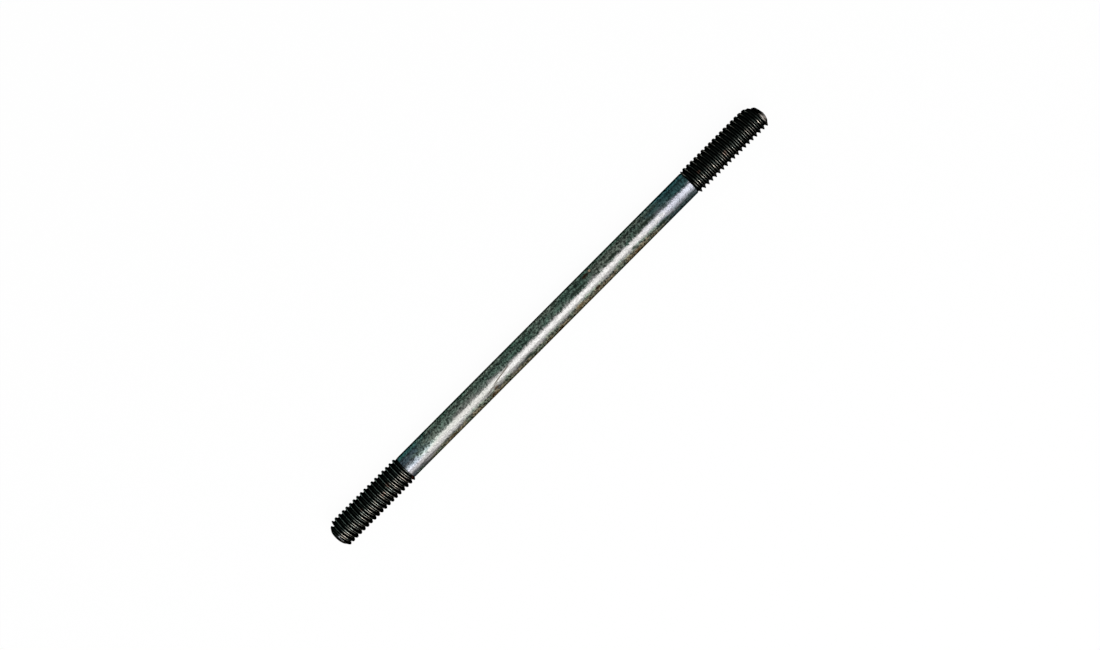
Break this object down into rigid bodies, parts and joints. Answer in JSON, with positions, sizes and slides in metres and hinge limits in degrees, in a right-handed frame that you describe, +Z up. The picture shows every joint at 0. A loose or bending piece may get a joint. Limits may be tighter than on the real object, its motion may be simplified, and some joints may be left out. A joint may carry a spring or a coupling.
{
  "type": "stud bolt",
  "caption": "Long slim steel stud with a plain reduced shank and a short right-hand thread on each chamfered end.",
  "frame": {"origin": "centre of the bounding box's bottom: under the middle of the stud, where it lies on the ground", "axes": "+X along the stud's axis, +Z up from the ground it lies on, +Y across it"},
  "size_m": [0.117, 0.006, 0.006],
  "materials": {
    "oiled_steel": "dark mottled green-grey steel with an oily sheen and brown stains; the threads are black and oily with bright worn crests"
  },
  "bodies": {
    "root": {"stud_bolt": "oiled_steel"}
  },
  "joints": []
}
